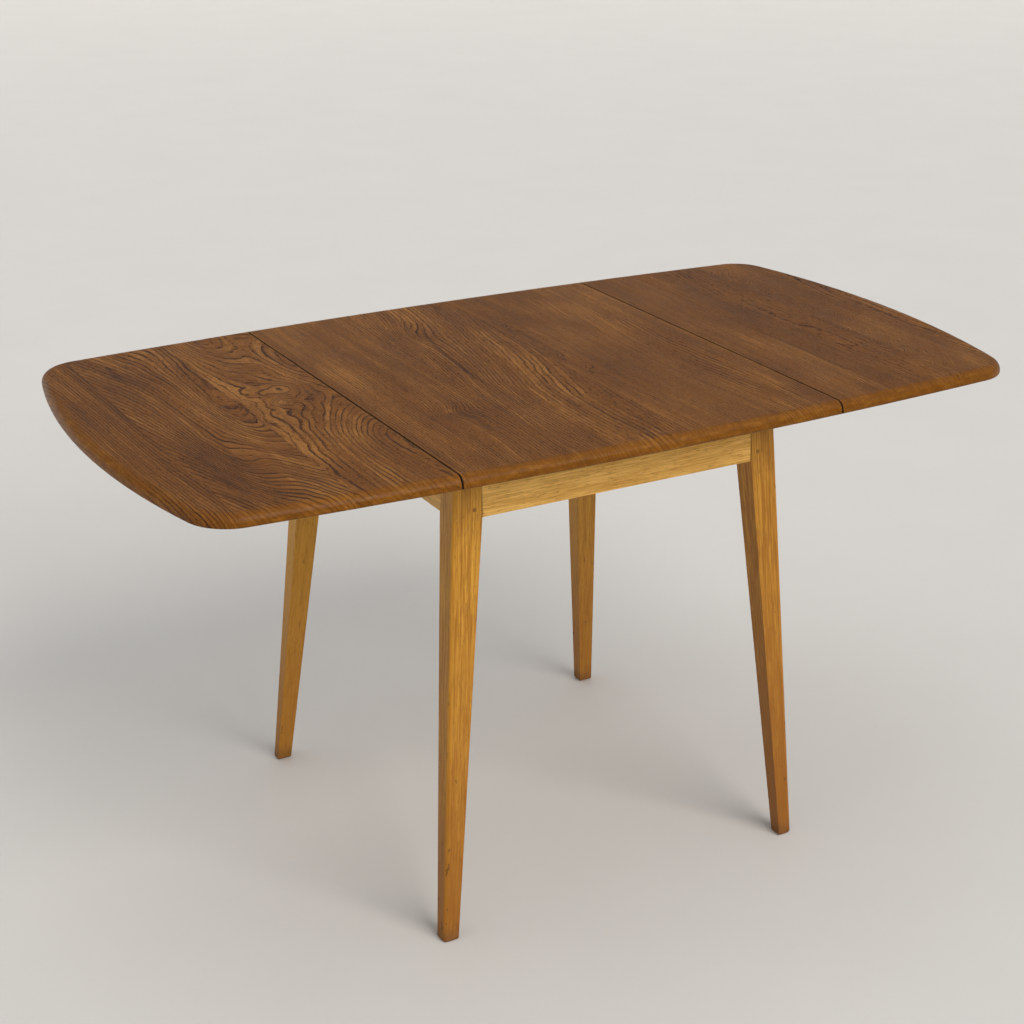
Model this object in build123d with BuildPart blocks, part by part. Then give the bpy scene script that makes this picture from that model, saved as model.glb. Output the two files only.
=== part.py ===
from build123d import *
import math
import os

os.makedirs("parts", exist_ok=True)

# A drop-leaf dining table: an elm top of one fixed board and two hinged leaves, on a beech frame with
# four splayed, tapered legs. Each open leaf rests on two bearer slides that pull out through the end rail.
# Origin: on the floor under the middle of the table. +X along the open length, +Z up. Millimetres.

# driving dimensions
table_height = 720.0
open_length = 1344.0
open_depth = 719.0
top_thickness = 18.0
centre_width = 598.0  # between the two joint lines
joint_gap = 1.2
corner_x = 625.8  # where the bowed sides would meet if the corners were square
corner_y = 334.9
corner_radius = 64.0
top_round = 14.0  # large round on the upper edge
under_round = 3.0
joint_arris = 1.0

leg_top_outer = (256.7, 251.5)  # outer corner under the top, measured in X and Y
foot_outer = (303.9, 304.2)  # outer corner on the floor
leg_inner = (218.6, 220.6)  # the faces that meet the rails stand plumb
foot_size = (23.2, 20.3)
leg_edge_radius = 5.0
leg_inner_radius = 1.4
foot_outer_radius = 6.5  # the feet are worn rounder than the legs
foot_edge_radius = 5.0
foot_bottom_radius = 4.0

long_rail_bottom = 614.8
end_rail_bottom = 616.5
long_rail_thickness = 22.0
end_rail_thickness = 20.0
end_rail_setback = 2.5
shoulder_gap = 0.15
shrunk_shoulder_gap = 0.8  # one shoulder of the front rail has opened with age
rail_arris = 1.2

tenon_thickness = 8.0
tenon_bottom, tenon_top = 620.0, 692.0
long_tenon_y, long_tenon_end = 236.0, 235.5
end_tenon_x, end_tenon_end = 238.0, 233.5
mortise_gap = 1.0  # beyond the end and the edges of a tenon
fit_clearance = 0.05
cut_past = 1.0  # how far a cut runs past the face it starts from

peg_radius = 3.0
long_peg_x, long_peg_z = 230.0, 627.5
end_peg_y, end_peg_z = 227.5, 650.0
peg_inner_end = 226.0
peg_proud = 0.25

slide_width, slide_depth = 20.0, 36.0
slide_inner_end = -72.0  # for a slide that pulls out towards +X
slide_running_gap = 0.3
slide_travel = 170.0
slide_outer_y, slide_inner_y = 130.0, -90.0
slide_nose_start, slide_nose_end = 257.9, 270.0
slide_nose_drop, slide_nose_round = 10.0, 3.0
slide_peg_radius, slide_peg_drop = 4.0, 8.0
slide_peg_chamfer = 0.8

cross_bearer_x, cross_bearer_thickness = 120.0, 22.0
cross_bearer_depth = 57.0
cross_bearer_screw_y = 190.0

brace_thickness, brace_depth = 22.0, 40.0
brace_corner_gap = 0.6
brace_screw_offset = 3.0  # along the brace from its middle, clear of the leg
fixing_block_x, fixing_block_length = 62.0, 50.0
fixing_block_width, fixing_block_depth = 20.0, 20.0
fixing_block_chamfer = 1.5
block_screw_offset = 12.0  # one screw goes up and one goes sideways, each side of the block's middle

hinge_length = 60.0
hinge_ys = (-240.0, 0.0, 240.0)
hinge_barrel_radius, hinge_pin_radius = 3.0, 1.5
hinge_plate_thickness = 1.6
hinge_plate_corner = 4.0
hinge_plate_relief = 0.35  # between a plate and the other plate's knuckles
hinge_centre_plate_reach, hinge_leaf_plate_reach = 27.0, 42.0
hinge_knuckles = 5
hinge_knuckle_gap = 0.3
hinge_recess_gap = 0.2
hinge_recess_spare_depth = 0.1
hinge_barrel_relief = 0.5
hinge_centre_screw_rows = (0.62,)  # shares of the plate's reach
hinge_leaf_screw_rows = (0.42, 0.8)
hinge_centre_screw_offsets = (-0.36, 0, 0.36)  # shares of the hinge's length
hinge_leaf_screw_offsets = (-0.33, 0.33)

hinge_screw_radius, hinge_screw_head_radius, hinge_screw_length = 1.7, 3.4, 14.0
fixing_screw_radius, fixing_screw_head_radius, fixing_screw_length = 2.2, 4.4, 30.0
screw_slot_width, screw_slot_depth = 0.8, 0.7
screw_head_rim = 0.2
screw_hole_spare = 0.5
counterbore_radius = fixing_screw_head_radius + 0.6

# worked out from the driving dimensions
underside = table_height - top_thickness
half_length, half_depth = open_length / 2, open_depth / 2
joint_x = centre_width / 2
splay_x = (foot_outer[0] - leg_top_outer[0]) / underside
splay_y = (foot_outer[1] - leg_top_outer[1]) / underside
slide_bottom = underside - slide_running_gap - slide_depth
groove_depth = 2 * (underside - slide_bottom + slide_running_gap)  # twice, as cuts centre on the underside
groove_width = slide_width + 2 * slide_running_gap
fixing_screw_head_z = underside - fixing_block_depth
knuckle_length = hinge_length / hinge_knuckles
tenon_middle = (tenon_bottom + tenon_top) / 2


def outer_x(z):
    """X of a leg's outer face at height z."""
    return leg_top_outer[0] + splay_x * (underside - z)


def outer_y(z):
    """Y of a leg's outer face at height z."""
    return leg_top_outer[1] + splay_y * (underside - z)


def rail_inner_y(z):
    """Y of a long rail's inner face at height z."""
    return outer_y(z) - long_rail_thickness


def rail_outer_x(z):
    """X of an end rail's outer face at height z."""
    return outer_x(z) - end_rail_setback


def rail_inner_x(z):
    return rail_outer_x(z) - end_rail_thickness


def save(solid, name):
    solid.label = name
    export_step(solid, f"parts/{name}.step")


def turned(solid, quarter):
    """The piece in each corner of the table: mirrored to the side of X and Y that quarter names."""
    if quarter[0] < 0:
        solid = mirror(solid, about=Plane.YZ)
    if quarter[1] < 0:
        solid = mirror(solid, about=Plane.XZ)
    return solid


corners = {"front_left": (-1, -1), "front_right": (1, -1), "back_left": (-1, 1), "back_right": (1, 1)}
ends = {"left": -1, "right": 1}
sides = {"front": -1, "back": 1}
hinge_places = dict(zip(("front", "middle", "back"), hinge_ys))


# screws: slotted, countersunk, head face down and shank pointing up
def wood_screw(radius, head_radius, length):
    head_height = head_radius - radius
    with BuildPart() as screw:
        with BuildSketch(Plane.XZ):
            with BuildLine():
                Polyline(
                    (0, 0),
                    (head_radius, 0),
                    (head_radius, screw_head_rim),
                    (radius, head_height + screw_head_rim),
                    (radius, length - 2 * radius),
                    (0, length),
                    close=True,
                )
            make_face()
        revolve(axis=Axis.Z)
        with Locations((0, 0, screw_slot_depth / 2)):
            Box(2 * (head_radius + cut_past), screw_slot_width, screw_slot_depth, mode=Mode.SUBTRACT)
    return screw.part


def screw_hole(radius, head_radius, length):
    """The space a screw takes, a little larger all round."""
    with BuildPart() as hole:
        with BuildSketch(Plane.XZ):
            with BuildLine():
                Polyline(
                    (0, -cut_past),
                    (head_radius + fit_clearance, -cut_past),
                    (head_radius + fit_clearance, screw_head_rim),
                    (radius + fit_clearance, head_radius - radius + screw_head_rim),
                    (radius + fit_clearance, length + screw_hole_spare),
                    (0, length + screw_hole_spare),
                    close=True,
                )
            make_face()
        revolve(axis=Axis.Z)
    return hole.part


hinge_screw = wood_screw(hinge_screw_radius, hinge_screw_head_radius, hinge_screw_length)
hinge_screw_space = screw_hole(hinge_screw_radius, hinge_screw_head_radius, hinge_screw_length)
fixing_screw = wood_screw(fixing_screw_radius, fixing_screw_head_radius, fixing_screw_length)
fixing_screw_space = screw_hole(fixing_screw_radius, fixing_screw_head_radius, fixing_screw_length)


# places of the screws
def hinge_screw_places(end, reach, outward):
    """Head centres on one side of the joint line; outward is 1 on the leaf and -1 on the centre board."""
    rows = hinge_centre_screw_rows if outward < 0 else hinge_leaf_screw_rows
    offsets = hinge_centre_screw_offsets if outward < 0 else hinge_leaf_screw_offsets
    for y in hinge_ys:
        for row in rows:
            for offset in offsets:
                yield (end * (joint_x + outward * row * reach), y + offset * hinge_length, underside)


def brace_screw_place(quarter):
    middle = (leg_inner[0] + leg_inner[1] - brace_corner_gap - brace_thickness / math.sqrt(2)) / 2
    x, y = middle + brace_screw_offset, middle - brace_screw_offset
    return (quarter[0] * x, quarter[1] * y, fixing_screw_head_z)


def block_screw_place(quarter):
    """The screw that goes up through a fixing block into the top."""
    x, y = fixing_block_x - block_screw_offset, rail_inner_y(underside) - fixing_block_width / 2
    return (quarter[0] * x, quarter[1] * y, fixing_screw_head_z)


fixing_screw_places = [brace_screw_place(q) for q in corners.values()]
fixing_screw_places += [block_screw_place(q) for q in corners.values()]
fixing_screw_places += [
    (end * cross_bearer_x, y, fixing_screw_head_z)
    for end in ends.values()
    for y in (-cross_bearer_screw_y, 0, cross_bearer_screw_y)
]


def slide_ys(end):
    """The two slides of one end; the other end's run beside them, half a turn round."""
    return (end * slide_outer_y, end * slide_inner_y)


# the top
with BuildPart() as slab:
    with BuildSketch(Plane.XY.offset(underside)) as outline:
        with BuildLine():
            ThreePointArc((-corner_x, -corner_y), (0, -half_depth), (corner_x, -corner_y))
            ThreePointArc((corner_x, -corner_y), (half_length, 0), (corner_x, corner_y))
            ThreePointArc((corner_x, corner_y), (0, half_depth), (-corner_x, corner_y))
            ThreePointArc((-corner_x, corner_y), (-half_length, 0), (-corner_x, -corner_y))
        make_face()
        fillet(outline.vertices(), corner_radius)
    extrude(amount=top_thickness)
    fillet(slab.faces().sort_by(Axis.Z)[-1].edges(), top_round)
    fillet(slab.faces().sort_by(Axis.Z)[0].edges(), under_round)


def hinge_recess(end, reach, outward):
    """Cuts the plate recess and the barrel's relief for each hinge on one side of a joint."""
    length = hinge_length + 2 * hinge_recess_gap
    depth = hinge_plate_thickness + hinge_recess_spare_depth
    recess_reach = reach + hinge_recess_gap
    for y in hinge_ys:
        with Locations((end * (joint_x + outward * recess_reach / 2), y, underside + depth / 2)):
            Box(recess_reach, length, depth, mode=Mode.SUBTRACT)
        with Locations(Location((end * joint_x, y, underside), (90, 0, 0))):
            Cylinder(hinge_barrel_radius + hinge_barrel_relief, length, mode=Mode.SUBTRACT)


def soften_joint(board, side):
    """Rounds the upper arris of the joint face on one side of a board, and its two rounded ends."""
    joint_face = board.faces().filter_by(Axis.X).sort_by(Axis.X)[-1 if side > 0 else 0]
    fillet(joint_face.edges().sort_by(Axis.Z)[1:], joint_arris)


with BuildPart() as top_centre:
    add(slab.part)
    with Locations((0, 0, underside + top_thickness / 2)):
        Box(centre_width - joint_gap, open_depth + cut_past, top_thickness + cut_past, mode=Mode.INTERSECT)
    for end in ends.values():
        soften_joint(top_centre, end)
        hinge_recess(end, hinge_centre_plate_reach, -1)
        with Locations(*hinge_screw_places(end, hinge_centre_plate_reach, -1)):
            add(hinge_screw_space, mode=Mode.SUBTRACT)
    with Locations(*fixing_screw_places):
        add(fixing_screw_space, mode=Mode.SUBTRACT)
save(top_centre.part, "top_centre")

for name, end in ends.items():
    start = joint_x + joint_gap / 2
    with BuildPart() as leaf:
        add(slab.part)
        with Locations((end * (start + half_length / 2), 0, underside + top_thickness / 2)):
            Box(half_length, open_depth + cut_past, top_thickness + cut_past, mode=Mode.INTERSECT)
        soften_joint(leaf, -end)
        hinge_recess(end, hinge_leaf_plate_reach, 1)
        with Locations(*hinge_screw_places(end, hinge_leaf_plate_reach, 1)):
            add(hinge_screw_space, mode=Mode.SUBTRACT)
    save(leaf.part, f"leaf_{name}")


# the legs: outer faces straight, inner faces plumb beside the rails and tapered below them
def leg_section(outer, inner, z, outer_radius, inner_radius):
    """A leg's section at height z, with a larger radius on its outer corner."""
    outward = Axis((0, 0, 0), (1, 1, 0))
    with BuildSketch(Plane.XY.offset(z)) as section:
        with Locations(((outer[0] + inner[0]) / 2, (outer[1] + inner[1]) / 2)):
            Rectangle(outer[0] - inner[0], outer[1] - inner[1])
        inner_corners = section.vertices().sort_by(outward)[:3]
        fillet(section.vertices().sort_by(outward)[-1], outer_radius)
        fillet(inner_corners, inner_radius)
    return section.sketch


def peg_holes():
    """Drills one corner's leg for the pegs of its two tenons."""
    radius = peg_radius + fit_clearance
    with Locations(Location((long_peg_x, (peg_inner_end + outer_y(0)) / 2, long_peg_z), (90, 0, 0))):
        Cylinder(radius, outer_y(0) - peg_inner_end, mode=Mode.SUBTRACT)
    with Locations(Location(((peg_inner_end + outer_x(0)) / 2, end_peg_y, end_peg_z), (0, 90, 0))):
        Cylinder(radius, outer_x(0) - peg_inner_end, mode=Mode.SUBTRACT)


rail_outer = (outer_x(long_rail_bottom), outer_y(long_rail_bottom))
foot_inner = (foot_outer[0] - foot_size[0], foot_outer[1] - foot_size[1])
leg_head = leg_section(leg_top_outer, leg_inner, underside, leg_edge_radius, leg_inner_radius)
leg_shoulder = leg_section(rail_outer, leg_inner, long_rail_bottom, leg_edge_radius, leg_inner_radius)
leg_foot = leg_section(foot_outer, foot_inner, 0, foot_outer_radius, foot_edge_radius)
with BuildPart() as leg:
    loft([leg_head, leg_shoulder], ruled=True)
    loft([leg_shoulder, leg_foot], ruled=True)
    fillet(leg.faces().sort_by(Axis.Z)[0].edges(), foot_bottom_radius)
    mortise = tenon_thickness + 2 * fit_clearance
    mortise_height = tenon_top - tenon_bottom + mortise_gap
    with Locations(((leg_inner[0] + long_tenon_end) / 2, long_tenon_y + tenon_thickness / 2, tenon_middle)):
        Box(long_tenon_end - leg_inner[0] + mortise_gap, mortise, mortise_height, mode=Mode.SUBTRACT)
    with Locations((end_tenon_x + tenon_thickness / 2, (leg_inner[1] + end_tenon_end) / 2, tenon_middle)):
        Box(mortise, end_tenon_end - leg_inner[1] + mortise_gap, mortise_height, mode=Mode.SUBTRACT)
    peg_holes()

for name, quarter in corners.items():
    save(turned(leg.part, quarter), f"leg_{name}")


# the rails: canted like the legs' outer faces, tenoned into the legs
def rail_screw_places():
    """The screws that go sideways through the fixing blocks into the long rails, heads inward."""
    x, y = fixing_block_x + block_screw_offset, rail_inner_y(underside) - fixing_block_width
    for x_side, y_side in corners.values():
        place = (x_side * x, y_side * y, underside - fixing_block_depth / 2)
        yield Location(place, (-90 * y_side, 0, 0))


for name, side in sides.items():
    right_gap = shrunk_shoulder_gap if name == "front" else shoulder_gap
    rail_start = shoulder_gap - leg_inner[0]
    rail_end = leg_inner[0] - right_gap
    with BuildPart() as rail:
        with BuildSketch(Plane.YZ.offset(rail_start)):
            with BuildLine():
                Polyline(
                    (side * outer_y(underside), underside),
                    (side * outer_y(long_rail_bottom), long_rail_bottom),
                    (side * rail_inner_y(long_rail_bottom), long_rail_bottom),
                    (side * rail_inner_y(underside), underside),
                    close=True,
                )
            make_face()
        extrude(amount=rail_end - rail_start)
        fillet(rail.edges().filter_by(Axis.X).group_by(Axis.Z)[0], rail_arris)
        with Locations((0, side * (long_tenon_y + tenon_thickness / 2), tenon_middle)):
            Box(2 * long_tenon_end, tenon_thickness, tenon_top - tenon_bottom)
        for end in ends.values():
            with Locations(Location((end * long_peg_x, side * long_tenon_y, long_peg_z), (90, 0, 0))):
                Cylinder(peg_radius + fit_clearance, 4 * tenon_thickness, mode=Mode.SUBTRACT)
        with Locations(*(p for p in rail_screw_places() if p.position.Y * side > 0)):
            add(fixing_screw_space, mode=Mode.SUBTRACT)
    save(rail.part, f"long_rail_{name}")

for name, end in ends.items():
    with BuildPart() as rail:
        with BuildSketch(Plane.XZ.offset(-leg_inner[1] + shoulder_gap)):
            with BuildLine():
                Polyline(
                    (end * rail_outer_x(underside), underside),
                    (end * rail_outer_x(end_rail_bottom), end_rail_bottom),
                    (end * rail_inner_x(end_rail_bottom), end_rail_bottom),
                    (end * rail_inner_x(underside), underside),
                    close=True,
                )
            make_face()
        extrude(amount=2 * (leg_inner[1] - shoulder_gap))
        fillet(rail.edges().filter_by(Axis.Y).group_by(Axis.Z)[0], rail_arris)
        with Locations((end * (end_tenon_x + tenon_thickness / 2), 0, tenon_middle)):
            Box(tenon_thickness, 2 * end_tenon_end, tenon_top - tenon_bottom)
        for side in sides.values():
            with Locations(Location((end * end_tenon_x, side * end_peg_y, end_peg_z), (0, 90, 0))):
                Cylinder(peg_radius + fit_clearance, 4 * tenon_thickness, mode=Mode.SUBTRACT)
        for y in slide_ys(end):
            with Locations((end * rail_outer_x(underside), y, underside)):
                Box(4 * end_rail_thickness, groove_width, groove_depth, mode=Mode.SUBTRACT)
    save(rail.part, f"end_rail_{name}")

# the cross bearers that hold the inner ends of the slides
for name, end in ends.items():
    foot = underside - cross_bearer_depth
    with BuildPart() as bearer:
        with BuildSketch(Plane.YZ.offset(end * cross_bearer_x - cross_bearer_thickness / 2)):
            with BuildLine():
                Polyline(
                    (-rail_inner_y(underside) + shoulder_gap, underside),
                    (-rail_inner_y(foot) + shoulder_gap, foot),
                    (rail_inner_y(foot) - shoulder_gap, foot),
                    (rail_inner_y(underside) - shoulder_gap, underside),
                    close=True,
                )
            make_face()
        extrude(amount=cross_bearer_thickness)
        fillet(bearer.edges().filter_by(Axis.Y).group_by(Axis.Z)[0], rail_arris)
        for y in slide_ys(end):
            with Locations((end * cross_bearer_x, y, underside)):
                Box(2 * cross_bearer_thickness, groove_width, groove_depth, mode=Mode.SUBTRACT)
        for y in (-cross_bearer_screw_y, 0, cross_bearer_screw_y):
            with Locations((end * cross_bearer_x, y, foot)):
                Cylinder(
                    counterbore_radius,
                    fixing_screw_head_z - foot,
                    align=(Align.CENTER, Align.CENTER, Align.MIN),
                    mode=Mode.SUBTRACT,
                )
            with Locations((end * cross_bearer_x, y, fixing_screw_head_z)):
                add(fixing_screw_space, mode=Mode.SUBTRACT)
    save(bearer.part, f"cross_bearer_{name}")

# the bearer slides, each with a hooked nose that stops it going in and a peg that stops it coming out
slide_peg_x = cross_bearer_x - cross_bearer_thickness / 2 - slide_peg_radius - slide_travel
for name, end in ends.items():
    for place, y in zip(("a", "b"), slide_ys(end)):
        with BuildPart() as slide:
            with BuildSketch(Plane.XZ.offset(-y - slide_width / 2)):
                with BuildLine():
                    Polyline(
                        (end * slide_inner_end, slide_bottom),
                        (end * slide_nose_start, slide_bottom),
                        (end * slide_nose_start, slide_bottom - slide_nose_drop),
                        (end * slide_nose_end, slide_bottom - slide_nose_drop),
                        (end * slide_nose_end, underside - slide_running_gap),
                        (end * slide_inner_end, underside - slide_running_gap),
                        close=True,
                    )
                make_face()
            extrude(amount=slide_width)
            nose = slide.faces().sort_by(Axis.X)[-1 if end > 0 else 0]
            fillet(nose.edges(), slide_nose_round)
            with Locations((end * slide_peg_x, y, slide_bottom)):
                Cylinder(slide_peg_radius + fit_clearance, slide_depth, mode=Mode.SUBTRACT)
        save(slide.part, f"slide_{name}_{place}")

        with BuildPart() as stop_peg:
            with Locations((end * slide_peg_x, y, slide_bottom + slide_depth / 2 - cut_past)):
                Cylinder(
                    slide_peg_radius,
                    slide_depth / 2 - cut_past + slide_peg_drop,
                    align=(Align.CENTER, Align.CENTER, Align.MAX),
                )
            chamfer(stop_peg.edges().sort_by(Axis.Z)[0], slide_peg_chamfer)
        save(stop_peg.part, f"slide_stop_peg_{name}_{place}")

# the corner braces, across each corner just inside the leg
def brace_section(z, outer_line, inner_line):
    """A brace's plan at height z between two lines x + y = constant, its ends against the two rails."""
    x_end, y_end = rail_inner_x(z) - shoulder_gap, rail_inner_y(z) - shoulder_gap
    with BuildSketch(Plane.XY.offset(z)) as section:
        with BuildLine():
            Polyline(
                (inner_line - y_end, y_end),
                (outer_line - y_end, y_end),
                (x_end, outer_line - x_end),
                (x_end, inner_line - x_end),
                close=True,
            )
        make_face()
    return section.sketch


brace_outer_line = leg_inner[0] + leg_inner[1] - brace_corner_gap
brace_inner_line = brace_outer_line - brace_thickness * math.sqrt(2)
brace_bottom = underside - brace_depth
with BuildPart() as brace:
    loft(
        [brace_section(z, brace_outer_line, brace_inner_line) for z in (brace_bottom, underside)],
        ruled=True,
    )
    screw_x, screw_y, screw_z = brace_screw_place((1, 1))
    with Locations((screw_x, screw_y, brace_bottom)):
        Cylinder(
            counterbore_radius,
            screw_z - brace_bottom,
            align=(Align.CENTER, Align.CENTER, Align.MIN),
            mode=Mode.SUBTRACT,
        )
    with Locations((screw_x, screw_y, screw_z)):
        add(fixing_screw_space, mode=Mode.SUBTRACT)
for name, quarter in corners.items():
    save(turned(brace.part, quarter), f"corner_brace_{name}")

# the fixing blocks between the long rails and the top
with BuildPart() as block:
    inner_y = rail_inner_y(underside) - fixing_block_width
    block_bottom = underside - fixing_block_depth
    with BuildSketch(Plane.YZ.offset(fixing_block_x - fixing_block_length / 2)):
        with BuildLine():
            Polyline(
                (inner_y, underside),
                (inner_y, block_bottom),
                (rail_inner_y(block_bottom) - shoulder_gap, block_bottom),
                (rail_inner_y(underside) - shoulder_gap, underside),
                close=True,
            )
        make_face()
    extrude(amount=fixing_block_length)
    chamfer(block.edges().filter_by(Axis.X).sort_by(Axis((0, 0, 0), (0, 1, 1)))[0], fixing_block_chamfer)
    with Locations(block_screw_place((1, 1))):
        add(fixing_screw_space, mode=Mode.SUBTRACT)
    with Locations(*(p for p in rail_screw_places() if p.position.X > 0 and p.position.Y > 0)):
        add(fixing_screw_space, mode=Mode.SUBTRACT)
for name, quarter in corners.items():
    save(turned(block.part, quarter), f"fixing_block_{name}")

# tenon pegs, their ends a hair proud of the legs' canted faces
with BuildPart() as long_peg:
    peg_face = outer_y(long_peg_z) + peg_proud
    with Locations(Location((long_peg_x, (peg_inner_end + peg_face) / 2, long_peg_z), (90, 0, 0))):
        Cylinder(peg_radius, peg_face - peg_inner_end)
with BuildPart() as end_peg:
    peg_face = outer_x(end_peg_z) + peg_proud
    with Locations(Location(((peg_inner_end + peg_face) / 2, end_peg_y, end_peg_z), (0, 90, 0))):
        Cylinder(peg_radius, peg_face - peg_inner_end)
all_pegs = [turned(peg.part.solid(), q) for peg in (long_peg, end_peg) for q in corners.values()]
save(Compound(all_pegs), "tenon_pegs")

# the hinges, open flat, their barrels along the joint lines
def hinge_half(end, y, reach, outward, own_knuckles):
    """One plate with its knuckles; outward is 1 for the leaf's plate and -1 for the centre board's."""
    relief = hinge_barrel_radius + hinge_plate_relief
    plate_z = underside + hinge_plate_thickness / 2
    knuckle = knuckle_length - hinge_knuckle_gap
    with BuildPart() as half:
        plate_middle = joint_x + outward * (relief + reach) / 2
        with Locations((end * plate_middle, y, plate_z)):
            Box(reach - relief, hinge_length, hinge_plate_thickness)
        far_corners = half.edges().filter_by(Axis.Z).group_by(Axis.X)[-1 if end * outward > 0 else 0]
        fillet(far_corners, hinge_plate_corner)
        for index in own_knuckles:
            knuckle_y = y - hinge_length / 2 + (index + 0.5) * knuckle_length
            with Locations(Location((end * joint_x, knuckle_y, underside), (90, 0, 0))):
                Cylinder(hinge_barrel_radius, knuckle)
            with Locations((end * (joint_x + outward * relief / 2), knuckle_y, plate_z)):
                Box(relief, knuckle, hinge_plate_thickness)
        with Locations(Location((end * joint_x, y, underside), (90, 0, 0))):
            Cylinder(hinge_pin_radius + fit_clearance, hinge_length + cut_past, mode=Mode.SUBTRACT)
        screw_places = hinge_screw_places(end, reach, outward)
        with Locations(*(place for place in screw_places if abs(place[1] - y) < hinge_length)):
            add(hinge_screw_space, mode=Mode.SUBTRACT)
    return half.part


for name, end in ends.items():
    for place, y in hinge_places.items():
        centre_half = hinge_half(end, y, hinge_centre_plate_reach, -1, (0, 2, 4))
        save(centre_half, f"hinge_centre_plate_{name}_{place}")
        save(hinge_half(end, y, hinge_leaf_plate_reach, 1, (1, 3)), f"hinge_leaf_plate_{name}_{place}")
    with BuildPart() as pins:
        for y in hinge_ys:
            with Locations(Location((end * joint_x, y, underside), (90, 0, 0))):
                Cylinder(hinge_pin_radius, hinge_length)
    save(pins.part, f"hinge_pins_{name}")

# the screws
def placed(screw, places):
    """One node of identical screws, each a separate solid."""
    turns = [place if isinstance(place, Location) else Location(place) for place in places]
    return Compound([screw.solid().moved(turn) for turn in turns])


save(placed(fixing_screw, fixing_screw_places), "top_fixing_screws")
save(placed(fixing_screw, rail_screw_places()), "rail_fixing_screws")
centre_hinge_screws = [
    place for end in ends.values() for place in hinge_screw_places(end, hinge_centre_plate_reach, -1)
]
save(placed(hinge_screw, centre_hinge_screws), "hinge_screws_centre")
for name, end in ends.items():
    leaf_hinge_screws = hinge_screw_places(end, hinge_leaf_plate_reach, 1)
    save(placed(hinge_screw, leaf_hinge_screws), f"hinge_screws_leaf_{name}")
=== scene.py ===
"""Looks of the drop-leaf table: wood, metal, floor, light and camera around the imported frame.

Lengths are in metres and the axes are the table's own: X runs across the two leaves, Y is its
depth and the direction of the top's grain, and Z is up from the floor.
"""

import math

import bpy
from mathutils import Matrix, Vector


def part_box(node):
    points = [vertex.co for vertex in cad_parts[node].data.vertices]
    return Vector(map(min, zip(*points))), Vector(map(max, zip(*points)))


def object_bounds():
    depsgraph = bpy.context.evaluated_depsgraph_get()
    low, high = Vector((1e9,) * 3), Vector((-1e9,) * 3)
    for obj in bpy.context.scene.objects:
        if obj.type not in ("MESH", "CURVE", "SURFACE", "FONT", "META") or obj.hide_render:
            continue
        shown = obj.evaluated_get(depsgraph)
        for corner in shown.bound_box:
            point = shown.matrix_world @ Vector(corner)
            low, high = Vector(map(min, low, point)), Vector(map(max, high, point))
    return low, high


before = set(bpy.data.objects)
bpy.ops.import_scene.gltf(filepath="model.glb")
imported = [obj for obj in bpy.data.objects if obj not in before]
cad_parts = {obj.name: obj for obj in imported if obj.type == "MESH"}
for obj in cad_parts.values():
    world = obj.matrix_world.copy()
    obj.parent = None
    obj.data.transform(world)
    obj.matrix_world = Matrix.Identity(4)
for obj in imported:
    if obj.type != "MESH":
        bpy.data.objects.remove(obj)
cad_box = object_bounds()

TABLE_LOW, TABLE_HIGH = (Vector(corner) for corner in cad_box)
JOINT_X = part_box("top_centre")[1].x  # where a leaf meets the centre board
JOINT_GAP = 0.0012  # between the leaf and the centre board
STRONG = 2.2  # stretches a noise about its middle, because it seldom reaches 0 or 1


class Value:
    """A number that varies over a surface. Arithmetic on it adds Math nodes to its graph."""

    def __init__(self, graph, socket):
        self.graph = graph
        self.socket = socket

    def __add__(self, other):
        return self.graph.maths("ADD", self, other)

    def __sub__(self, other):
        return self.graph.maths("SUBTRACT", self, other)

    def __rsub__(self, other):
        return self.graph.maths("SUBTRACT", other, self)

    def __mul__(self, other):
        return self.graph.maths("MULTIPLY", self, other)

    def __gt__(self, other):
        return self.graph.maths("GREATER_THAN", self, other)

    def __lt__(self, other):
        return self.graph.maths("LESS_THAN", self, other)

    def __abs__(self):
        return self.graph.maths("ABSOLUTE", self)

    __radd__ = __add__


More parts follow.
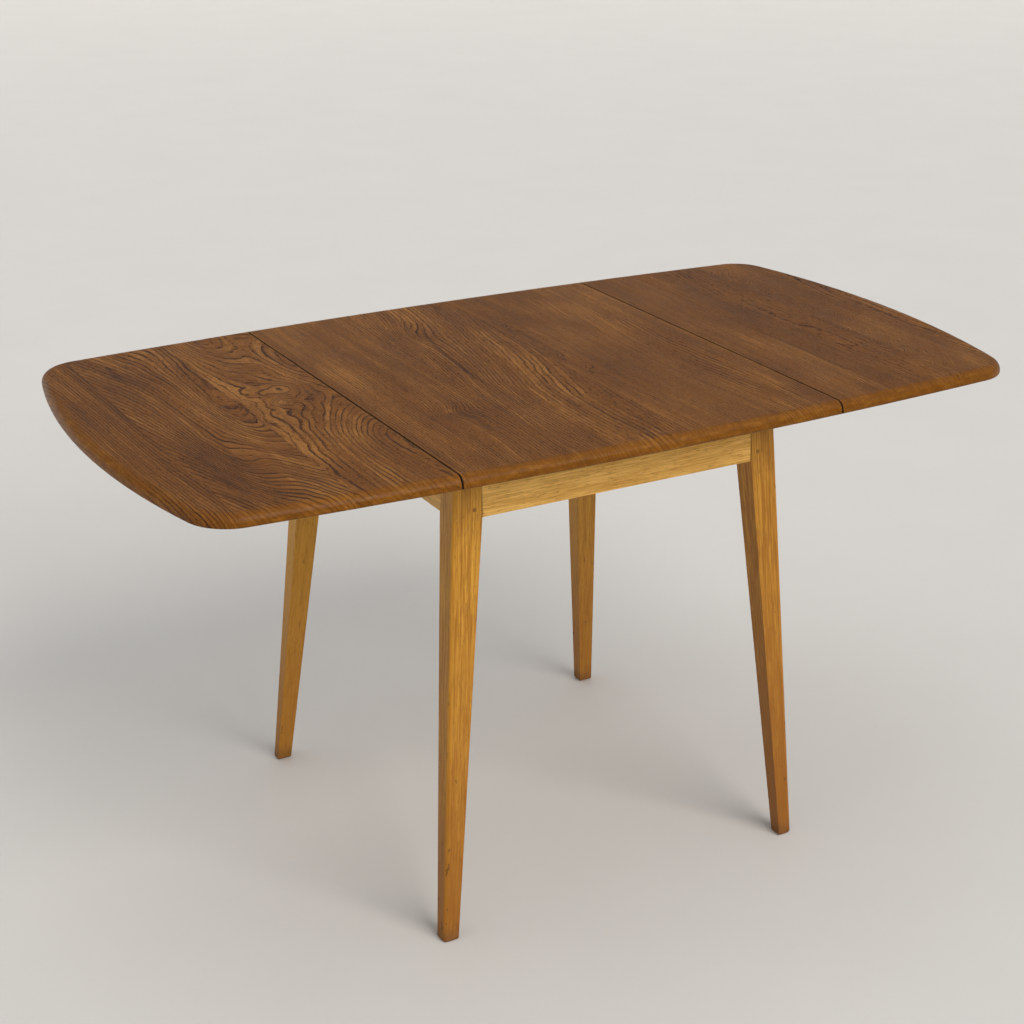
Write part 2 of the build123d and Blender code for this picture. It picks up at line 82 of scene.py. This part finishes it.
class Graph:
    """The node tree of one material, with the surface's place and facing in the table's axes."""

    def __init__(self, name):
        self.material = bpy.data.materials.new(name)
        self.material.use_nodes = True
        self.nodes = self.material.node_tree.nodes
        self.links = self.material.node_tree.links
        self.nodes.clear()
        self.shader = self.nodes.new("ShaderNodeBsdfPrincipled")
        output = self.nodes.new("ShaderNodeOutputMaterial")
        self.links.new(self.shader.outputs["BSDF"], output.inputs["Surface"])
        source = self.nodes.new("ShaderNodeTexCoord")
        self.x, self.y, self.z = self.split(source.outputs["Object"])
        self.facing_x, self.facing_y, self.facing_z = self.split(source.outputs["Normal"])

    def put(self, value, socket):
        """Links a value to a socket, or sets the socket to a plain number or colour."""
        if isinstance(value, Value):
            self.links.new(value.socket, socket)
        elif isinstance(value, tuple) and len(value) == 3 and socket.type == "RGBA":
            socket.default_value = (*value, 1)
        else:
            socket.default_value = value

    def split(self, socket):
        node = self.nodes.new("ShaderNodeSeparateXYZ")
        self.links.new(socket, node.inputs[0])
        return [Value(self, output) for output in node.outputs]

    def maths(self, operation, *values):
        node = self.nodes.new("ShaderNodeMath")
        node.operation = operation
        for socket, value in zip(node.inputs, values):
            self.put(value, socket)
        return Value(self, node.outputs[0])

    def vector(self, x, y, z):
        node = self.nodes.new("ShaderNodeCombineXYZ")
        for socket, value in zip(node.inputs, (x, y, z)):
            self.put(value, socket)
        return Value(self, node.outputs[0])

    def noise(self, x, y, z, detail=2.0, rough=0.5):
        """Smooth noise from 0 to 1 about 0.5, with one feature to each unit of x, y and z.

        So the factor on a coordinate in a call is the number of features to the metre that way.
        """
        node = self.nodes.new("ShaderNodeTexNoise")
        self.put(self.vector(x, y, z), node.inputs["Vector"])
        node.inputs["Scale"].default_value = 1
        node.inputs["Detail"].default_value = detail
        node.inputs["Roughness"].default_value = rough
        return Value(self, node.outputs[0])

    def swing(self, x, y, z, detail, rough=0.5):
        """Noise stretched about 0, mostly between -0.5 and 0.5."""
        return (self.noise(x, y, z, detail, rough) - 0.5) * STRONG

    def random(self, value):
        """A random number from 0 to 1 for each whole value."""
        node = self.nodes.new("ShaderNodeTexWhiteNoise")
        node.noise_dimensions = "1D"
        self.put(value, node.inputs["W"])
        return Value(self, node.outputs["Value"])

    def step(self, value, low, high, start=0.0, end=1.0):
        """Goes smoothly from start to end as value goes from low to high."""
        node = self.nodes.new("ShaderNodeMapRange")
        node.interpolation_type = "SMOOTHSTEP"
        entries = {
            "Value": value, "From Min": low, "From Max": high, "To Min": start, "To Max": end,
        }
        for name, entry in entries.items():
            self.put(entry, node.inputs[name])
        return Value(self, node.outputs[0])

    def blend(self, amount, first, second):
        """Colour first where amount is 0 and second where it is 1."""
        node = self.nodes.new("ShaderNodeMix")
        node.data_type = "RGBA"
        self.put(amount, node.inputs["Factor"])
        sockets = [socket for socket in node.inputs if socket.type == "RGBA"]
        for socket, value in zip(sockets, (first, second)):
            self.put(value, socket)
        return Value(self, next(socket for socket in node.outputs if socket.type == "RGBA"))

    def hill(self, x, y, centre_x, centre_y, radius_x, radius_y):
        """1 at the centre, falling smoothly to 0 about two radii away."""
        dx = self.maths("MULTIPLY_ADD", x, 1 / radius_x, -centre_x / radius_x)
        dy = self.maths("MULTIPLY_ADD", y, 1 / radius_y, -centre_y / radius_y)
        square = self.maths("MULTIPLY_ADD", dx, dx, dy * dy)
        return self.maths("POWER", 1 / math.e, square)

    def finish(self, colour, roughness, height, depth, **others):
        """Connects the shader. Height from 0 to 1 stands depth metres proud.

        The others are the shader's sockets by name, with _ for each space.
        """
        bump = self.nodes.new("ShaderNodeBump")
        bump.inputs["Strength"].default_value = 1
        bump.inputs["Distance"].default_value = depth
        self.put(height, bump.inputs["Height"])
        self.links.new(bump.outputs["Normal"], self.shader.inputs["Normal"])
        self.put(colour, self.shader.inputs["Base Color"])
        self.put(roughness, self.shader.inputs["Roughness"])
        for name, value in others.items():
            self.put(value, self.shader.inputs[name.replace("_", " ")])
        return self.material


# ---- Elm of the top ----

# A plank has a left and a right glue line, the width of its rings, how far its lines lean (X over
# Y), how strongly they show, its tone from 0, dark, to 1, and the hills that its rings bend around.
# A hill is its centre, its two radii and its height in rings.
PLANKS = (
    (-0.700, -0.590, 0.0048, -0.04, 0.75, 0.50, ()),
    (-0.590, -0.440, 0.0085, -0.30, 0.90, 0.48, (
        (-0.462, -0.010, 0.036, 0.170, 8),
        (-0.525, -0.120, 0.034, 0.170, 7),
        (-0.460, 0.370, 0.040, 0.120, -4),
    )),
    (-0.440, -0.300, 0.0450, -0.06, 0.68, 0.60, (
        (-0.292, -0.170, 0.085, 0.130, 11),
        (-0.292, -0.400, 0.085, 0.200, 12),
        (-0.300, 0.190, 0.034, 0.150, 6),
        (-0.380, 0.390, 0.046, 0.190, 8),
        (-0.385, 0.015, 0.014, 0.017, 3),
        (-0.360, 0.070, 0.024, 0.024, -3),
    )),
    (-0.300, -0.130, 0.0046, 0.02, 0.75, 0.54, (
        (-0.190, -0.140, 0.030, 0.025, 3),
        (-0.180, -0.205, 0.008, 0.014, 3),
        (-0.220, 0.190, 0.008, 0.014, 3),
    )),
    (-0.130, 0.043, 0.0060, 0.10, 0.85, 0.54, (
        (-0.060, -0.200, 0.090, 0.260, 5),
        (-0.085, 0.210, 0.030, 0.060, 3),
    )),
    (0.043, 0.300, 0.0052, 0.00, 0.60, 0.52, (
        (0.060, 0.160, 0.010, 0.018, 3),
        (0.058, -0.005, 0.010, 0.018, 3),
        (0.062, -0.072, 0.012, 0.022, 3),
        (0.200, -0.060, 0.060, 0.260, 5),
    )),
    (0.300, 0.395, 0.0046, 0.05, 0.60, 0.50, ()),
    (0.395, 0.525, 0.0066, 0.02, 0.50, 0.37, ((0.455, -0.050, 0.030, 0.300, 4),)),
    (0.525, 0.700, 0.0060, 0.00, 0.62, 0.56, ((0.610, 0.000, 0.040, 0.350, 5),)),
)

# Lighter (+) and darker (-) places: centre, two radii and change of tone.
PLACES = (
    (-0.545, -0.190, 0.045, 0.130, -0.40),
    (-0.455, 0.285, 0.016, 0.050, 0.25),
    (-0.345, -0.125, 0.034, 0.070, 0.26),
    (-0.385, 0.015, 0.008, 0.010, 0.40),
    (-0.405, -0.040, 0.030, 0.060, 0.12),
    (-0.520, 0.180, 0.040, 0.080, -0.14),
    (-0.185, -0.145, 0.034, 0.026, -0.28),
    (-0.195, -0.128, 0.010, 0.007, 0.40),
    (-0.180, -0.205, 0.0035, 0.0045, -0.60),
    (-0.220, 0.190, 0.0035, 0.0045, -0.60),
    (-0.155, 0.170, 0.018, 0.080, 0.20),
    (-0.095, 0.205, 0.026, 0.034, -0.22),
    (0.060, 0.160, 0.0035, 0.005, -0.60),
    (0.058, -0.005, 0.004, 0.004, -0.60),
    (0.062, -0.072, 0.004, 0.006, -0.60),
    (0.057, -0.210, 0.011, 0.075, 0.26),
    (0.215, -0.020, 0.040, 0.080, -0.12),
)

# Where the rings swirl: centre, two radii and strength.
BURRS = (
    (-0.385, 0.04, 0.075, 0.12, 1.0),
    (-0.50, -0.20, 0.09, 0.16, 0.45),
)

# The dark heart line of the centre board's middle plank: it runs straight, then leans away.
HEART_X = -0.097
HEART_TURN_Y = -0.080
HEART_BEND = 0.42
HEART_PLACE = (-0.08, 0.08, 0.09, 0.19)  # centre and two radii of the part that shows
HEART_CORE, HEART_REACH = 0.0008, 0.0050  # it is full up to the first and gone at the second

# The row of small arcs in the right leaf.
CRESCENT_X = 0.538
CRESCENT_PITCH = 0.062
CRESCENT_RADII = (0.020, 0.5)

GLUE_LINE = 0.0005
PLANK_SEED = 7.3  # sets the noises of neighbouring planks apart
RINGS_IN_DEPTH = 90  # rings to the metre of height, so that the edges have a figure too

# How far a long side and an end fall back, over the square of the distance from their middles.
SIDE_BOW, END_BOW = 0.055, 0.22
RUBBED_WIDTH = 0.021
RUBBED_WANDER = 0.008
RIM_START, RIM_END = 0.0030, 0.0048  # from the middle of a joint
CRACK_START, CRACK_END = 0.0012, 0.0021
UNDER_START, UNDER_END = -0.75, -0.9  # how far a surface has to face down to count as the underside

ELM_DARK, ELM_BROWN = (0.040, 0.0122, 0.0022), (0.156, 0.0535, 0.0070)
ELM_LIGHT = (0.340, 0.150, 0.034)
PORE_BROWN, GLUE_BROWN = (0.030, 0.0095, 0.0025), (0.04, 0.014, 0.004)
EDGE_ORANGE, EDGE_GOLD = (0.190, 0.066, 0.0022), (0.380, 0.165, 0.016)
EDGE_BROWN = (0.085, 0.026, 0.0030)
RIM_GOLD, CRACK_BROWN = (0.300, 0.125, 0.012), (0.022, 0.0080, 0.0020)
RAW_DARK, RAW_LIGHT = (0.13, 0.068, 0.028), (0.32, 0.200, 0.105)
ELM_RELIEF = 0.00022
ELM_SPECULAR = 0.11


def elm_planks(g):
    """What a plank sets: number, rings to the metre, lean, show, tone, hills and glue lines."""
    x, y = g.x, g.y
    plank, pitch, lean, show, tone, hills, glue = 0, 0, 0, 0, 0, 0, 0
    for index, (left, right, width, slant, strength, light, bends) in enumerate(PLANKS):
        inside = (x > left) * (x < right)
        plank = plank + inside * (index + 1)
        pitch = pitch + inside * (1 / width)
        lean = lean + inside * slant
        show = show + inside * strength
        tone = tone + inside * light
        bend = 0
        for *place, rings in bends:
            bend = bend + g.hill(x, y, *place) * rings
        if bends:
            hills = hills + inside * bend
        glue = glue + g.step(abs(x - left), GLUE_LINE / 2, GLUE_LINE, 1, 0)
    return plank, pitch, lean, show, tone, hills, glue


def elm_rings(g, seed, pitch, lean, hills):
    """A field that grows by 1 from ring to ring of the wood."""
    x, y = g.x, g.y
    sway = g.swing(x * 8, y * 2.2, seed, detail=1)
    ripple = g.swing(x * 34, y * 13, seed + 3, detail=3)
    swirl = g.swing(x * 22, y * 17, seed + 5, detail=2)
    burr = 0
    for *place, strength in BURRS:
        burr = burr + g.hill(x, y, *place) * strength
    crescents = g.hill(x, y, CRESCENT_X, 0, *CRESCENT_RADII) * g.maths(
        "SINE", (y + sway * 0.012) * (2 * math.pi / CRESCENT_PITCH)
    )
    rings = (x - y * lean) * pitch + hills + sway * 2.6 + ripple * 0.7 + burr * swirl * 2.0
    return rings + crescents * 2.6 + g.z * RINGS_IN_DEPTH, sway


def elm_heart(g, sway):
    """1 on the dark heart line."""
    beyond_turn = g.maths("MAXIMUM", g.y - HEART_TURN_Y, 0)
    distance = abs(g.x - HEART_X - beyond_turn * beyond_turn * HEART_BEND + sway * 0.003)
    return g.step(distance, HEART_CORE, HEART_REACH, 1, 0) * g.hill(g.x, g.y, *HEART_PLACE)


def elm_wear_and_highlight(g, colour, clouds):
    """Rubs the outer edge to an orange brown with gold spots, lightens the joints' rims, both by
    wear and painted highlight, and darkens their gaps.
    """
    x, y = g.x, g.y
    edge = g.maths(
        "MINIMUM",
        TABLE_HIGH.x - abs(x) - y * y * END_BOW,
        TABLE_HIGH.y - abs(y) - x * x * SIDE_BOW,
    )
    rubbed = g.step(edge + clouds * RUBBED_WANDER, 0, RUBBED_WIDTH, 1, 0)
    wear_and_highlight_noise = g.noise(x * 60, y * 60, g.z * 160, detail=4, rough=0.65)
    colour = g.blend(rubbed * 0.62, colour, EDGE_ORANGE)
    # painted highlight and wear: gold spots on the rubbed edge
    colour = g.blend(g.step(wear_and_highlight_noise, 0.50, 0.70) * rubbed * 0.26, colour, EDGE_GOLD)
    colour = g.blend(g.step(wear_and_highlight_noise, 0.50, 0.34) * rubbed * 0.34, colour, EDGE_BROWN)
    from_joint = abs(abs(x) - JOINT_X - JOINT_GAP / 2)
    rim = g.step(from_joint, RIM_START, RIM_END, 1, 0) * g.step(wear_and_highlight_noise, 0.38, 0.56)
    # painted highlight and wear: the joints' rims lighten towards gold
    colour = g.blend(rim * 0.25, colour, RIM_GOLD)
    crack = g.step(from_joint, CRACK_START, CRACK_END, 1, 0)
    return g.blend(crack * 0.88, colour, CRACK_BROWN), rubbed


def elm():
    """Oiled brown elm in glued planks: ring lines, pores, burr figure and a worn, lighter edge with
    painted highlight.
    """
    g = Graph("elm_top")
    x, y = g.x, g.y
    plank, pitch, lean, show, tone, hills, glue = elm_planks(g)
    seed = plank * PLANK_SEED
    rings, sway = elm_rings(g, seed, pitch, lean, hills)
    ring = g.maths("FLOOR", rings)
    across = g.maths("FRACT", rings)

    band = g.step(across, 0.05, 0.45, 1, 0) * g.step(across, 0.0, 0.07)
    ring_tone = g.random(ring + seed) - 0.5
    ring_line = g.random(ring + seed + 0.5)
    fibres = g.swing(rings * 2.8, y * 7 + x * 3, seed, detail=3, rough=0.65)
    streaks = g.swing(x * 130, y * 4, seed + 9, detail=4, rough=0.7)
    pores = g.noise(rings * 7, y * 170 + x * 80, g.z * 300 + seed, detail=1)
    pores = g.step(pores, 0.49, 0.60) * (band * 0.60 + 0.40)
    dashes = g.step(g.noise(rings * 3.1, y * 60 + x * 20, g.z * 200 + seed, detail=2), 0.55, 0.68)
    broken = g.step(g.noise(x * 26, y * 12, seed + 40, detail=2), 0.35, 0.62, 0.25, 1)
    clouds = g.swing(x * 5.5, y * 3.2, seed + 20, detail=2)
    blotches = g.swing(x * 22, y * 8, seed + 30, detail=3)

    lightness = (
        tone
        + fibres * 0.46
        + streaks * 0.34
        + clouds * 0.42
        + blotches * 0.40
        - dashes * 0.46
        + ring_tone * 0.40 * show
        + (0.34 - band * (ring_line * 1.50 + 0.75)) * show * broken
    )
    for *place, change in PLACES:
        lightness = lightness + g.hill(x, y, *place) * change
    lightness = lightness - elm_heart(g, sway) * 0.55

    colour = g.blend(g.step(lightness, -0.30, 0.55), ELM_DARK, ELM_BROWN)
    colour = g.blend(g.step(lightness, 0.45, 1.40), colour, ELM_LIGHT)
    colour = g.blend(pores * 0.72, colour, PORE_BROWN)
    colour = g.blend(glue * 0.45, colour, GLUE_BROWN)
    colour, rubbed = elm_wear_and_highlight(g, colour, clouds)
    below = g.step(g.facing_z, UNDER_START, UNDER_END)  # the underside was never oiled
    colour = g.blend(below, colour, g.blend(g.step(lightness, 0.1, 0.9), RAW_DARK, RAW_LIGHT))

    roughness = 0.36 + blotches * 0.07 + pores * 0.2 + below * 0.3 - rubbed * 0.08
    height = 1 - pores * 0.8 - band * 0.25 * show + fibres * 0.10 - glue * 0.8
    return g.finish(colour, roughness, height, ELM_RELIEF, Specular_IOR_Level=ELM_SPECULAR)


# ---- Beech of the frame ----

SHOULDER_X = 0.2186  # where the long rails meet the legs
SHOULDER_DIRT_START, SHOULDER_DIRT_END = SHOULDER_X - 0.0022, SHOULDER_X - 0.0004
LEG_SPLAY = (0.067, 0.075)  # how far a leg moves out in X and Y over each unit that it goes down
LOW_START, LOW_END = 0.62, 0.02  # where a leg starts to go darker, and where it is darkest
GRIME_HEIGHT = 0.035

FLECK_BROWN, ARRIS_GOLD = (0.20, 0.080, 0.014), (0.56, 0.250, 0.018)
SHOULDER_BROWN, LOW_ORANGE = (0.10, 0.045, 0.012), (0.24, 0.078, 0.005)
MARK_BROWN, GRIME_BROWN = (0.070, 0.028, 0.008), (0.11, 0.045, 0.014)
BEECH_RELIEF = 0.00018
BEECH_SPECULAR = 0.27


def beech(name, along, light, dark, polish=0.42, arris_wear_and_highlight=1.0, leg=False, shouldered=False):
    """Lacquered beech with its short flecks running along one axis, and arrises lighter from wear
    and a painted highlight.

    A leg has a grain that follows its splay, and is knocked and dirty towards its foot. A
    shouldered rail has dirt where it meets the legs.
    """
    g = Graph(name)
    places = {"x": g.x, "y": g.y, "z": g.z}
    if leg:
        places["x"] = abs(g.x) + g.z * LEG_SPLAY[0]
        places["y"] = abs(g.y) + g.z * LEG_SPLAY[1]
    run = places.pop(along)
    side, up = places.values()
    streaks = g.noise(side * 150, up * 150, run * 4, detail=4, rough=0.65)
    bands = g.noise(side * 22, up * 22, run * 1.6, detail=2)
    flecks = g.step(g.noise(side * 620, up * 620, run * 85, detail=2), 0.56, 0.68)
    patches = g.noise(g.x * 12, g.y * 12, g.z * 7, detail=4, rough=0.6)
    fine = g.noise(side * 430, up * 430, run * 16, detail=2, rough=0.6)
    lightness = 0.48 + (fine - 0.5) * 1.9 + (streaks - 0.5) * 0.9
    lightness = lightness + (bands - 0.5) * 0.6 + (patches - 0.5) * 0.3 - g.x * 0.45
    if leg:  # painted light: lighter towards the back legs, for how the light falls on them
        lightness = lightness + g.y + 0.24
    colour = g.blend(g.step(lightness, 0.0, 1.3), dark, light)
    colour = g.blend(flecks * 0.42, colour, FLECK_BROWN)

    corner = abs(g.facing_x * g.facing_y) + abs(g.facing_x * g.facing_z)
    corner = corner + abs(g.facing_y * g.facing_z)
    arris = g.step(corner + (patches - 0.5) * 0.25, 0.10, 0.42)
    # painted highlight and wear: the arrises are lightened towards gold
    colour = g.blend(arris * 0.45 * arris_wear_and_highlight, colour, ARRIS_GOLD)
    if shouldered:
        dirt = g.step(abs(g.x), SHOULDER_DIRT_START, SHOULDER_DIRT_END)
        colour = g.blend(dirt * 0.6, colour, SHOULDER_BROWN)
    height = 1 - flecks * 0.4 - streaks * 0.2
    roughness = polish + (patches - 0.5) * 0.2 + flecks * 0.1
    if leg:
        low = g.step(g.z, LOW_END, LOW_START, 1, 0)
        scuff = g.noise(g.x * 120, g.y * 120, g.z * 55, detail=3, rough=0.6)
        dents = g.step(scuff + low * 0.06 + arris * 0.06, 0.71, 0.78)
        cracks = g.step(g.noise(side * 160, up * 160, run * 9, detail=2), 0.71, 0.74)
        cracks = cracks * g.step(g.noise(g.x * 30, g.y * 30, run * 5), 0.5, 0.6)
        marks = g.maths("MAXIMUM", dents, cracks)
        grime = g.step(g.z + (scuff - 0.5) * 0.05, 0.0, GRIME_HEIGHT, 1, 0)
        colour = g.blend(low * 0.70, colour, LOW_ORANGE)
        colour = g.blend(marks * 0.60, colour, MARK_BROWN)
        colour = g.blend(grime * 0.60, colour, GRIME_BROWN)
        height = height - marks * 2.2
        roughness = roughness + marks * 0.2 + grime * 0.2
    return g.finish(colour, roughness, height, BEECH_RELIEF, Specular_IOR_Level=BEECH_SPECULAR)


# ---- Steel of the hinges and screws ----

TARNISH = 0.62  # the share of its colour that tarnished steel keeps
RUST_BROWN = (0.16, 0.06, 0.025)
STEEL_RELIEF = 0.00006


def steel(name, colour, roughness, spots):
    """Plated steel hinge stock, dulled, with a few rust spots."""
    g = Graph(name)
    tarnish = g.noise(g.x * 70, g.y * 70, g.z * 70, detail=4, rough=0.6)
    scratches = g.noise(g.x * 700, g.y * 60, g.z * 400, detail=2)
    rust = g.step(tarnish, 0.60, 0.72) * spots
    shade = g.blend(g.step(tarnish, 0.3, 0.7), colour, tuple(part * TARNISH for part in colour))
    shade = g.blend(rust, shade, RUST_BROWN)
    height = 1 - rust * 0.5 - scratches * 0.4
    material = g.finish(shade, roughness + tarnish * 0.2 + rust * 0.3, height, STEEL_RELIEF)
    g.put(1 - rust, g.shader.inputs["Metallic"])
    return material


HONEY, AMBER = (0.66, 0.335, 0.040), (0.31, 0.118, 0.007)
CREAM, STRAW = (0.96, 0.580, 0.155), (0.57, 0.290, 0.050)
PALE, TAN = (0.64, 0.425, 0.200), (0.42, 0.250, 0.105)

PEG_LIGHT, PEG_DARK = (0.36, 0.165, 0.028), (0.19, 0.078, 0.012)
PLATE_GREY, SCREW_GREY = (0.50, 0.47, 0.42), (0.42, 0.40, 0.37)

DRESSED = {  # each material, and how the names of the nodes that wear it start
    elm(): ("top_centre", "leaf_"),
    beech("beech_leg", "z", HONEY, AMBER, leg=True): ("leg_",),
    beech("beech_long_rail", "x", CREAM, STRAW, arris_wear_and_highlight=0.5, shouldered=True): ("long_rail_",),
    beech("beech_end_rail", "y", CREAM, STRAW, arris_wear_and_highlight=0.5): ("end_rail_",),
    beech("beech_bearer", "y", PALE, TAN, polish=0.62, arris_wear_and_highlight=0.2): ("cross_bearer_",),
    beech("beech_slide", "x", PALE, TAN, polish=0.55, arris_wear_and_highlight=0.4): (
        "slide_left_a", "slide_left_b", "slide_right_a", "slide_right_b",
    ),
    beech("beech_block", "x", PALE, TAN, polish=0.62, arris_wear_and_highlight=0.3): ("corner_brace_", "fixing_block_"),
    beech("beech_dowel", "y", PEG_LIGHT, PEG_DARK, polish=0.5): ("tenon_pegs", "slide_stop_peg_"),
    steel("hinge_steel", PLATE_GREY, roughness=0.30, spots=0.8): (
        "hinge_centre_plate_", "hinge_leaf_plate_", "hinge_pins_",
    ),
    steel("screw_steel", SCREW_GREY, roughness=0.32, spots=0.6): (
        "hinge_screws_", "top_fixing_screws", "rail_fixing_screws",
    ),
}
for material, starts in DRESSED.items():
    for name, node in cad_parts.items():
        if name.startswith(starts):
            for slot in node.material_slots:
                slot.material = material
            if not node.material_slots:
                node.data.materials.append(material)


# ---- Floor, light and camera ----

FLOOR_RADIUS = 10.0
COVE_RADIUS = 2.0
WALL_HEIGHT = 2.6
WALL_GLOW = 0.26
FLOOR_DARK, FLOOR_LIGHT = (0.600, 0.585, 0.560), (0.640, 0.625, 0.600)
FLOOR_ROUGHNESS = 0.6
FLOOR_RELIEF = 0.0001
COVE_STEPS = 12
TURN_STEPS = 96


def floor():
    """A large, plain, pale floor at the feet, which sweeps up into a round wall far off."""
    profile = [(0.0, 0.0), (FLOOR_RADIUS, 0.0)]
    for step in range(1, COVE_STEPS + 1):
        turn = math.pi / 2 * step / COVE_STEPS
        profile.append(
            (FLOOR_RADIUS + COVE_RADIUS * math.sin(turn), COVE_RADIUS * (1 - math.cos(turn)))
        )
    profile.append((FLOOR_RADIUS + COVE_RADIUS, WALL_HEIGHT))
    points, faces = [], []
    for turn in range(TURN_STEPS):
        angle = 2 * math.pi * turn / TURN_STEPS
        points += [
            (reach * math.cos(angle), reach * math.sin(angle), height) for reach, height in profile
        ]
    rows = len(profile)
    for turn in range(TURN_STEPS):
        here, there = turn * rows, (turn + 1) % TURN_STEPS * rows
        faces += [
            (here + row, here + row + 1, there + row + 1, there + row) for row in range(rows - 1)
        ]
    mesh = bpy.data.meshes.new("floor")
    mesh.from_pydata(points, [], faces)
    mesh.polygons.foreach_set("use_smooth", [True] * len(faces))
    ground = bpy.data.objects.new("floor", mesh)
    ground.location.z = TABLE_LOW.z
    bpy.context.scene.collection.objects.link(ground)
    g = Graph("pale_floor")
    grain = g.noise(g.x * 3, g.y * 3, g.z * 3, detail=5, rough=0.6)
    fine = g.noise(g.x * 260, g.y * 260, g.z * 260, detail=2)
    shade = g.blend(grain, FLOOR_DARK, FLOOR_LIGHT)
    glow = g.step(g.z, 0, COVE_RADIUS, 0, WALL_GLOW)
    ground.data.materials.append(g.finish(
        shade, FLOOR_ROUGHNESS, fine, FLOOR_RELIEF, Emission_Color=shade, Emission_Strength=glow
    ))


def sun(name, heading, energy, width, tint):
    """A wide, soft sun that shines along heading. Width is in degrees."""
    light = bpy.data.lights.new(name, "SUN")
    light.energy = energy
    light.angle = math.radians(width)
    light.color = tint
    lamp = bpy.data.objects.new(name, light)
    lamp.rotation_euler = Vector(heading).to_track_quat("-Z", "Y").to_euler()
    bpy.context.scene.collection.objects.link(lamp)


WARM_LIGHT, PALE_LIGHT = (1.0, 0.965, 0.92), (1.0, 0.98, 0.96)
SKY_COLOUR = (0.92, 0.93, 0.94, 1)
HORIZON_LIGHT = 0.05
ZENITH_LIGHT = 1.25


def lighting():
    """A soft sun from the front, a weak one from the left and a pale sky overhead."""
    sun("key_light", heading=(-0.22, 1.0, -0.78), energy=2.28, width=40, tint=WARM_LIGHT)
    sun("left_light", heading=(1.0, -0.15, -0.40), energy=0.40, width=60, tint=PALE_LIGHT)
    world = bpy.data.worlds.new("studio")
    world.use_nodes = True
    nodes, links = world.node_tree.nodes, world.node_tree.links
    background = nodes["Background"]
    background.inputs["Color"].default_value = SKY_COLOUR
    source = nodes.new("ShaderNodeTexCoord")
    axes = nodes.new("ShaderNodeSeparateXYZ")
    square = nodes.new("ShaderNodeMath")
    square.operation = "MULTIPLY"
    rise = nodes.new("ShaderNodeMapRange")
    rise.inputs["To Min"].default_value = HORIZON_LIGHT
    rise.inputs["To Max"].default_value = ZENITH_LIGHT
    links.new(source.outputs["Generated"], axes.inputs[0])
    links.new(axes.outputs["Z"], square.inputs[0])
    links.new(axes.outputs["Z"], square.inputs[1])
    links.new(square.outputs[0], rise.inputs["Value"])
    links.new(rise.outputs[0], background.inputs["Strength"])
    bpy.context.scene.world = world
    bpy.context.scene.view_settings.view_transform = "Standard"


CAMERA_PLACE = Vector((-1.3439, -2.2989, 1.5826))
CAMERA_YAW = math.radians(29.83)
CAMERA_PITCH = math.radians(22.38)
CAMERA_ROLL = math.radians(0.50)
CAMERA_LENS = 67.16  # mm
CAMERA_SENSOR = 36  # mm wide


def camera():
    """Looks down on the table from in front and to the left of it."""
    data = bpy.data.cameras.new("camera")
    data.lens = CAMERA_LENS
    data.sensor_width = CAMERA_SENSOR
    eye = bpy.data.objects.new("camera", data)
    turn = Matrix.Rotation(-CAMERA_YAW, 4, "Z")
    tilt = Matrix.Rotation(math.pi / 2 - CAMERA_PITCH, 4, "X")
    roll = Matrix.Rotation(CAMERA_ROLL, 4, "Z")
    eye.matrix_world = Matrix.Translation(CAMERA_PLACE) @ turn @ tilt @ roll
    bpy.context.scene.collection.objects.link(eye)
    bpy.context.scene.camera = eye


floor()
lighting()
camera()
